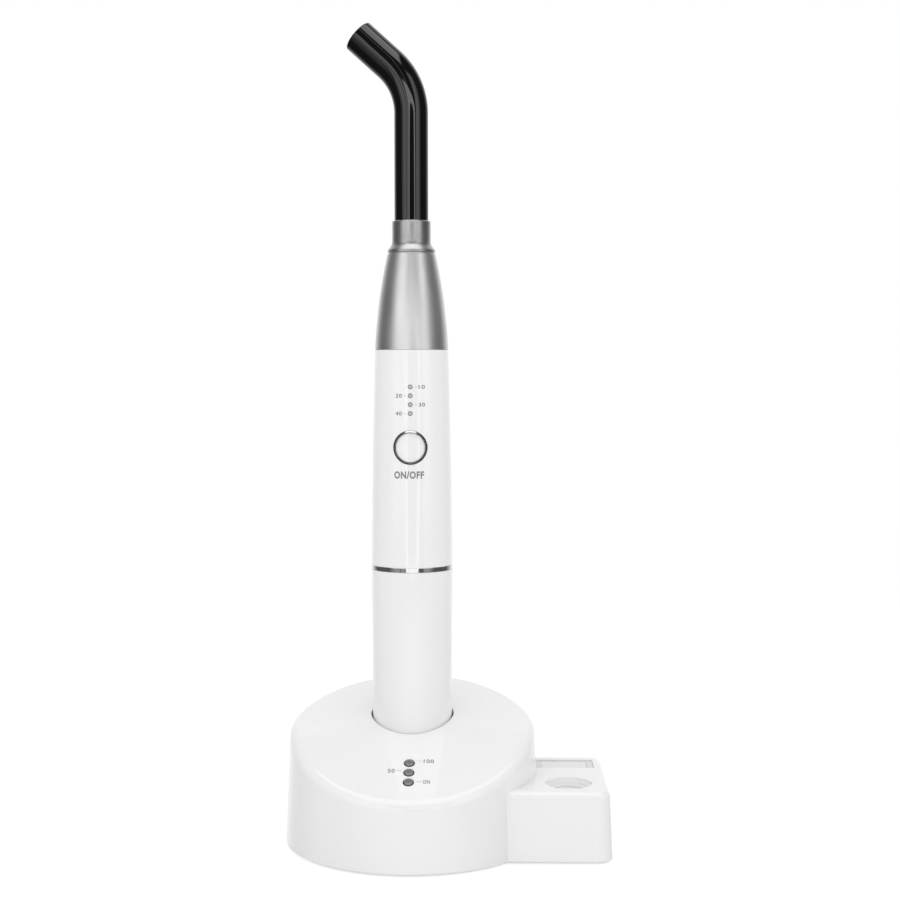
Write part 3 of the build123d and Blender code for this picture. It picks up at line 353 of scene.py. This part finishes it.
def make_finishes():
    """One finish for each of the record's material slots."""
    return {
        "white_gloss": finish("white_gloss", (0.855, 0.855, 0.855), 0.06, blotch=0.02,
                              grain=(1.6, 0.0008), mottle=(14, 0.004)),
        "white_plastic": finish("white_plastic", (0.80, 0.80, 0.80), 0.3,
                                grain=(0.6, 0.004), mottle=(8, 0.015)),
        "rubber_pad": finish("rubber_pad", (0.03, 0.03, 0.032), 0.75,
                             grain=(0.35, 0.03), mottle=(2, 0.15)),
        "steel_screw": finish("steel_screw", (0.55, 0.55, 0.56), 0.3, metal=1.0, grain=(0.2, 0.004)),
        "ballast_steel": finish("ballast_steel", (0.32, 0.32, 0.33), 0.45, metal=1.0,
                                grain=(0.5, 0.01), mottle=(3, 0.12)),
        "circuit_board": finish("circuit_board", (0.02, 0.13, 0.06), 0.35,
                                grain=(0.8, 0.01), mottle=(1.6, 0.3)),
        "black_plastic": finish("black_plastic", (0.02, 0.02, 0.022), 0.5,
                                grain=(0.25, 0.012), mottle=(2, 0.12)),
        "gold_contact": finish("gold_contact", (0.83, 0.6, 0.22), 0.2, metal=1.0, grain=(0.3, 0.002)),
        "spring_steel": finish("spring_steel", (0.6, 0.6, 0.62), 0.25, metal=1.0, grain=(0.2, 0.003)),
        "smoked_lamp": finish("smoked_lamp", (0.05, 0.053, 0.058), 0.08, coat=0.5,
                              grain=(0.5, 0.002), mottle=(0.8, 0.25)),
        "diffuser": finish("diffuser", (0.84, 0.84, 0.84), 0.35, grain=(0.4, 0.001), mottle=(1.5, 0.03)),
        "sensor_can": finish("sensor_can", (0.6, 0.6, 0.62), 0.25, metal=1.0, grain=(0.4, 0.002)),
        "window_frame": finish("window_frame", (0.65, 0.65, 0.65), 0.12,
                               grain=(0.8, 0.002), mottle=(4, 0.02)),
        "window_pane": finish("window_pane", (0.82, 0.82, 0.82), 0.06, see_through=0.1,
                              grain=(2.0, 0.001)),
        "display_face": finish("display_face", (0.35, 0.36, 0.36), 0.4,
                               grain=(0.4, 0.004), mottle=(1.2, 0.1)),
        "bright_metal": finish("bright_metal", (0.78, 0.78, 0.78), 0.06, metal=0.93, blotch=0.02,
                               grain=(0.6, 0.0008)),
        "cell_sleeve": finish("cell_sleeve", (0.03, 0.1, 0.35), 0.3, grain=(1.2, 0.01), mottle=(6, 0.08)),
        "mode_lamp": finish("mode_lamp", (0.3, 0.3, 0.305), 0.12, coat=0.6,
                            grain=(0.3, 0.002), mottle=(0.5, 0.2)),
        "satin_nose": finish("satin_nose", (0.92, 0.92, 0.92), 0.38, metal=0.93, blotch=0.03,
                             grain=(0.16, 0.006), mottle=(0.2, 0.05)),
        "seal_rubber": finish("seal_rubber", (0.02, 0.02, 0.02), 0.5, grain=(0.2, 0.006), mottle=(1, 0.1)),
        "bare_aluminium": finish("bare_aluminium", (0.72, 0.72, 0.74), 0.3, metal=1.0,
                                 grain=(0.3, 0.004), stretch=(1.0, 1.0, 8.0)),
        "emitter": finish("emitter", (0.85, 0.8, 0.5), 0.4, grain=(0.3, 0.003), mottle=(1, 0.05)),
        "lens_glass": finish("lens_glass", (0.95, 0.97, 1.0), 0.03, see_through=0.9, blotch=0.01,
                             grain=(2.0, 0.0005)),
        "guide_glass": finish("guide_glass", (0.42, 0.44, 0.45), 0.08, coat=1.0,
                              grain=(0.12, 0.002), mottle=(0.1, 0.25)),
        "guide_black": finish("guide_black", (0.004, 0.004, 0.004), 0.05, blotch=0.015, index=1.7,
                              grain=(2.4, 0.0006), mottle=(6, 0.1)),
        "satin_ferrule": finish("satin_ferrule", (0.56, 0.56, 0.56), 0.33, metal=0.92, blotch=0.03,
                                grain=(0.5, 0.0015), mottle=(0.6, 0.05), stretch=(1.0, 1.0, 6.0)),
    }


SMOOTH_ANGLE = radians(32)


def dress_nodes(finishes):
    """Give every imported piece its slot's finish and smooth shading."""
    slots = {part["node"]: part["material_slot"] for part in frame["record"]["subparts"]}
    for name, node in NODES.items():
        node.data.materials.clear()
        node.data.materials.append(finishes[slots[name]])
        for polygon in node.data.polygons:
            polygon.use_smooth = True
        node.data.set_sharp_from_angle(angle=SMOOTH_ANGLE)


# Pieces made here: domed lamps, the ring round the button and the lettering

ROUND_STEPS = 96
LENS_STEPS = 14
LENS_SHOULDER = 0.12            # shares of the radius: the height of its soft edge,
LENS_DOME_FOOT = 0.97           # the radius at which the dome begins
LENS_DOME_TOP = 0.01            # and the one at which it ends


def new_piece(name, mesh, body, finish_given):
    """An object of the part, riding on its body, with smooth shading."""
    piece = bpy.data.objects.new(name, mesh)
    bpy.context.collection.objects.link(piece)
    mesh.materials.clear()
    mesh.materials.append(finish_given)
    for polygon in mesh.polygons:
        polygon.use_smooth = True
    mesh.set_sharp_from_angle(angle=SMOOTH_ANGLE)
    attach(piece, body)
    return piece


def ring_mesh(name, rings, closed=False):
    """Join equal rings of points; each end ring is filled unless the tube closes on itself."""
    count = len(rings[0])
    faces = []
    last = len(rings) if closed else len(rings) - 1
    for low in range(last):
        high = (low + 1) % len(rings)
        for i in range(count):
            j = (i + 1) % count
            faces.append((low * count + i, low * count + j, high * count + j, high * count + i))
    if not closed:
        faces.append(tuple(range(count))[::-1])
        faces.append(tuple(range((len(rings) - 1) * count, len(rings) * count)))
    mesh = bpy.data.meshes.new(name)
    mesh.from_pydata([point for ring in rings for point in ring], [], faces)
    mesh.update()
    return mesh


def circle(radius, height):
    """Points of a level circle."""
    return [(radius * cos(2 * pi * i / ROUND_STEPS), radius * sin(2 * pi * i / ROUND_STEPS), height)
            for i in range(ROUND_STEPS)]


def lens_mesh(name, radius, dome, depth):
    """A small domed lens with a soft shoulder, standing on its own Z axis."""
    rings = [circle(radius, -depth), circle(radius, -LENS_SHOULDER * radius)]
    for step in range(LENS_STEPS):
        angle = pi / 2 * step / (LENS_STEPS - 1)
        level = max(LENS_DOME_FOOT * cos(angle), LENS_DOME_TOP)
        rings.append(circle(radius * level, dome * sin(angle)))
    return ring_mesh(name, rings)


def stand(piece, place, up):
    """Put a piece at a place with its Z axis along a direction."""
    turn = Vector(up).to_track_quat("Z", "X").to_matrix().to_4x4()
    piece.matrix_world = Matrix.Translation(place) @ turn


def surface_of(node):
    """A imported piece's surface, to lay things on."""
    mesh = NODES[node].data
    corners = [vertex.co for vertex in mesh.vertices]
    return BVHTree.FromPolygons(corners, [tuple(polygon.vertices) for polygon in mesh.polygons])


RAY_START = 100.0 * MM          # outside the part, to look for its surface from
BASE_SURFACE = surface_of("base_housing")
BODY_SURFACE = surface_of("front_housing")
BODY_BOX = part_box("front_housing")
BODY_RADIUS = (BODY_BOX[1].x - BODY_BOX[0].x) / 2
SLOPE = radians(30.0)           # of the base's front
SLOPE_UP = Vector((0.0, cos(SLOPE), sin(SLOPE)))
SLOPE_OUT = Vector((0.0, -sin(SLOPE), cos(SLOPE)))
LAMP_MIDDLE_Y = -25.0 * MM
LAMP_PITCH = 3.7 * MM
LAMP_RADIUS = 1.5 * MM
LAMP_DOME = 0.45 * MM
LAMP_DEPTH = 4.0 * MM
LAMP_BESIDE = 2.0               # radii from its axis, where the surface beside its hole is found
MODE_TOP_Z = 130.5 * MM
MODE_PITCH = 2.47 * MM
MODE_COUNT = 4
MODE_RADIUS = 0.62 * MM
MODE_DOME = 0.12 * MM
MODE_DEPTH = 3.0 * MM
MODE_BESIDE = 1.6


def slope_point(x, up_slope):
    """A point of the base's front slope, from the middle lamp."""
    y = LAMP_MIDDLE_Y + up_slope * cos(SLOPE)
    return BASE_SURFACE.ray_cast(Vector((x, y, RAY_START)), Vector((0, 0, -1)))[0]


def body_point(arc, z):
    """A point and the outward direction on the white front body, arc from its front line."""
    angle = arc / BODY_RADIUS
    out = Vector((sin(angle), -cos(angle), 0))
    hit = BODY_SURFACE.ray_cast(out * RAY_START + Vector((0, 0, z)), -out)[0]
    return hit, out


def make_base_lamps(lens):
    """Three smoked domes on the front slope."""
    edge = slope_point(LAMP_BESIDE * LAMP_RADIUS, 0.0)
    middle = Vector((0, edge.y, edge.z))
    for step in (-1, 0, 1):
        mesh = lens_mesh("base_lamp", LAMP_RADIUS, LAMP_DOME, LAMP_DEPTH)
        lamp = new_piece("base_lamp_%d" % (step + 2), mesh, "charger_base", lens)
        stand(lamp, middle + SLOPE_UP * step * LAMP_PITCH, SLOPE_OUT)
        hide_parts("indicator_lamps")


def make_mode_lamps(lens):
    """Four small milky domes above the button."""
    for step in range(MODE_COUNT):
        z = MODE_TOP_Z - step * MODE_PITCH
        hit = body_point(MODE_BESIDE * MODE_RADIUS, z)[0]
        mesh = lens_mesh("mode_lamp", MODE_RADIUS, MODE_DOME, MODE_DEPTH)
        lamp = new_piece("mode_lamp_%d" % (step + 1), mesh, "handpiece", lens)
        stand(lamp, Vector((0, -hypot(hit.x, hit.y), z)), (0, -1, 0))
        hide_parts("mode_light_pipes")


BEZEL_RADII = (4.18 * MM, 4.72 * MM)
BEZEL_RISE = 0.38 * MM          # over the body near its inner edge, down to nothing outside
BEZEL_CREST = 0.15              # share of its width at which it is highest
BEZEL_STEPS = 12
BEZEL_TURNS = 128


def make_bezel(metal):
    """The bright ring round the button: a slope down to the body, whose curve it follows."""
    low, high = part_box("button_bezel")
    button_z = (low.z + high.z) / 2
    surface = surface_of("button_bezel")
    inner, outer = BEZEL_RADII
    rings = []
    for turn in range(BEZEL_TURNS):
        angle = 2 * pi * turn / BEZEL_TURNS
        aside, rise = sin(angle), cos(angle)
        ring = [(inner * aside, high.y, button_z + inner * rise)]
        for step in range(BEZEL_STEPS + 1):
            share = step / BEZEL_STEPS
            radius = inner + (outer - inner) * share
            start = Vector((radius * aside, -RAY_START, button_z + radius * rise))
            face = surface.ray_cast(start, Vector((0, 1, 0)))[0].y
            slope = min(share / BEZEL_CREST, 1.0) * (1.0 - share)
            ring.append((start.x, face - BEZEL_RISE * slope, start.z))
        ring.append((outer * aside, high.y, button_z + outer * rise))
        rings.append(ring)
    mesh = ring_mesh("bezel_ring", rings, closed=True)
    bezel = new_piece("bezel_ring", mesh, "handpiece", metal)
    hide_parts("button_bezel")


PRINT_THICK = 0.03 * MM
PRINT_SUNK = 0.2                # share of the thickness that lies under the surface
PRINT_SLICE = 0.4 * MM
LETTER_SPACE = 1.12
LETTER_CURVE_STEPS = 4
HALF_DEPTH = 0.5                # of the letters before they are thinned


def printed(name, words, height, width, bold):
    """Flat letters of a given height and width, sliced to bend, centred on the origin."""
    curve = bpy.data.curves.new(name, "FONT")
    curve.body = words
    curve.size = 1.0
    curve.offset = bold
    curve.space_character = LETTER_SPACE
    curve.extrude = HALF_DEPTH
    curve.resolution_u = LETTER_CURVE_STEPS
    text = bpy.data.objects.new(name, curve)
    bpy.context.collection.objects.link(text)
    mesh = bpy.data.meshes.new_from_object(text)
    bpy.data.objects.remove(text)
    bpy.data.curves.remove(curve)
    xs = [v.co.x for v in mesh.vertices]
    ys = [v.co.y for v in mesh.vertices]
    shrink = Vector((width / (max(xs) - min(xs)), height / (max(ys) - min(ys)), PRINT_THICK))
    middle = Vector(((max(xs) + min(xs)) / 2, (max(ys) + min(ys)) / 2, PRINT_SUNK - HALF_DEPTH))
    for vertex in mesh.vertices:
        vertex.co = (vertex.co - middle) * shrink
    return slice_mesh(mesh, width)


def slice_mesh(mesh, width):
    """Cut a flat mesh into upright slices, so that it can bend."""
    work = bmesh.new()
    work.from_mesh(mesh)
    cuts = int(width / PRINT_SLICE) + 1
    for i in range(1, cuts):
        place = (width * (i / cuts - 0.5), 0, 0)
        everything = work.verts[:] + work.edges[:] + work.faces[:]
        bmesh.ops.bisect_plane(work, geom=everything, plane_co=place, plane_no=(1, 0, 0))
    work.to_mesh(mesh)
    work.free()
    return mesh


def dash_mesh(name, width, height):
    """A short printed line."""
    x, y = width / 2, height / 2
    z = PRINT_THICK
    low = [(-x, -y, 0), (x, -y, 0), (x, y, 0), (-x, y, 0)]
    return ring_mesh(name, [low, [(a, b, z) for a, b, c in low]])


def print_on_body(name, mesh, arc, z, ink):
    """Wrap a flat mesh round the white body, its middle at an arc and a height."""
    for vertex in mesh.vertices:
        hit, out = body_point(arc + vertex.co.x, z + vertex.co.y)
        vertex.co = hit + out * vertex.co.z
    new_piece(name, mesh, "handpiece", ink)


def print_on_slope(name, mesh, x, up_slope, ink):
    """Lay a flat mesh on the base's front slope."""
    for vertex in mesh.vertices:
        vertex.co = slope_point(x + vertex.co.x, up_slope + vertex.co.y) + SLOPE_OUT * vertex.co.z
    new_piece(name, mesh, "charger_base", ink)


SWITCH_WORDS = "ON/OFF"
SWITCH_TEXT = (2.1 * MM, 8.7 * MM)      # height and width
SWITCH_ARC = -0.4 * MM
SWITCH_Z = 105.95 * MM
SWITCH_BOLD = 0.04
SMALL_BOLD = 0.02
MODE_WORDS = ("10", "20", "30", "40")
MODE_TEXT = (1.1 * MM, 2.0 * MM)        # height and width
MODE_TEXT_ARC = 3.5 * MM
MODE_DASH = (0.75 * MM, 0.12 * MM)      # width and height, as the base's
MODE_DASH_ARC = 1.65 * MM
BASE_WORDS = (("ON", 1, 0.3 * MM), ("50", -1, 0.8 * MM), ("100", 1, 0.85 * MM))     # words, side, rise
BASE_LETTER = 0.95 * MM         # width of one letter
BASE_TEXT_HEIGHT = 1.45 * MM
BASE_TEXT_X = 3.9 * MM
BASE_DASH = (1.45 * MM, 0.16 * MM)
BASE_DASH_X = 2.8 * MM


def make_lettering(ink, faint_ink):
    """Plain numbers and switch words, printed on the body and the base."""
    name = "print_switch"
    print_on_body(name, printed(name, SWITCH_WORDS, *SWITCH_TEXT, SWITCH_BOLD), SWITCH_ARC, SWITCH_Z, ink)
    for step, words in enumerate(MODE_WORDS):
        side = 1 if step % 2 == 0 else -1
        z = MODE_TOP_Z - step * MODE_PITCH
        name = "print_mode_%d" % (step + 1)
        print_on_body(name, printed(name, words, *MODE_TEXT, SMALL_BOLD), side * MODE_TEXT_ARC, z, ink)
        name = "print_mode_line_%d" % (step + 1)
        print_on_body(name, dash_mesh(name, *MODE_DASH), side * MODE_DASH_ARC, z, faint_ink)
    for step, (words, side, rise) in enumerate(BASE_WORDS):
        up_slope = (step - 1) * LAMP_PITCH + rise
        width = BASE_LETTER * len(words)
        name = "print_base_%d" % (step + 1)
        mesh = printed(name, words, BASE_TEXT_HEIGHT, width, SMALL_BOLD)
        print_on_slope(name, mesh, side * (BASE_TEXT_X + width / 2), up_slope, ink)
        name = "print_base_line_%d" % (step + 1)
        print_on_slope(name, dash_mesh(name, *BASE_DASH), side * BASE_DASH_X, up_slope, faint_ink)


# The lenses' greys hold painted light: a lighter middle or ring is a painted highlight, and the dark rim
# is painted shade at the edge of the lamp's hole.
LENS_RING = (0.35, 0.6)         # shares of the radius where the middle's grey turns to the ring's
LENS_SHADED_RIM = (0.7, 0.96)          # and the ring's to the rim's painted shade


def lens_with_painted_light(name, radius, middle, ring, rim_painted_shade, rough):
    """A small lens: grey that changes from its middle through a ring to a dark rim. The lighter of the
    middle and the ring is a painted highlight, and the dark rim is painted shade.
    """
    material = finish(name, (middle,) * 3, rough, coat=0.6, grain=(0.4, 0.001))
    graph = Graph(material.node_tree, empty=False)
    place = graph.add("ShaderNodeSeparateXYZ")
    graph.put(place.inputs[0], graph.add("ShaderNodeTexCoord").outputs["Object"])
    x, y, _ = place.outputs
    square = graph.math("ADD", graph.math("MULTIPLY", x, x), graph.math("MULTIPLY", y, y))
    share = graph.math("DIVIDE", graph.math("SQRT", square), radius)
    to_ring = graph.ramp(share, *LENS_RING, middle, ring)
    grey = graph.product(to_ring, graph.ramp(share, *LENS_SHADED_RIM, 1.0, rim_painted_shade / ring))
    shader = next(node for node in graph.tree.nodes if node.type == "BSDF_PRINCIPLED")
    graph.put(shader.inputs["Base Color"], grey)
    return material


bpy.context.scene.view_settings.view_transform = "Standard"
make_camera()
make_world()
make_floor()
finishes = make_finishes()
dress_nodes(finishes)
# Base lamps: the lighter ring is a painted highlight. Mode lamps: the lighter middle is a painted
# highlight. Both have a painted shade rim.
make_base_lamps(lens_with_painted_light("base_lens_painted_light", LAMP_RADIUS, middle=0.1, ring=0.17, rim_painted_shade=0.035, rough=0.1))
make_mode_lamps(lens_with_painted_light("mode_lens_painted_light", MODE_RADIUS, middle=0.52, ring=0.4, rim_painted_shade=0.17, rough=0.12))
make_bezel(finish("bezel_metal", (0.6, 0.6, 0.6), 0.2, metal=0.95, blotch=0.02, grain=(0.3, 0.0008)))
ink = finish("grey_print", (0.24, 0.24, 0.24), 0.5, mottle=(0.5, 0.1))
faint_ink = finish("faint_print", (0.5, 0.5, 0.5), 0.5, mottle=(0.5, 0.1))
make_lettering(ink, faint_ink)
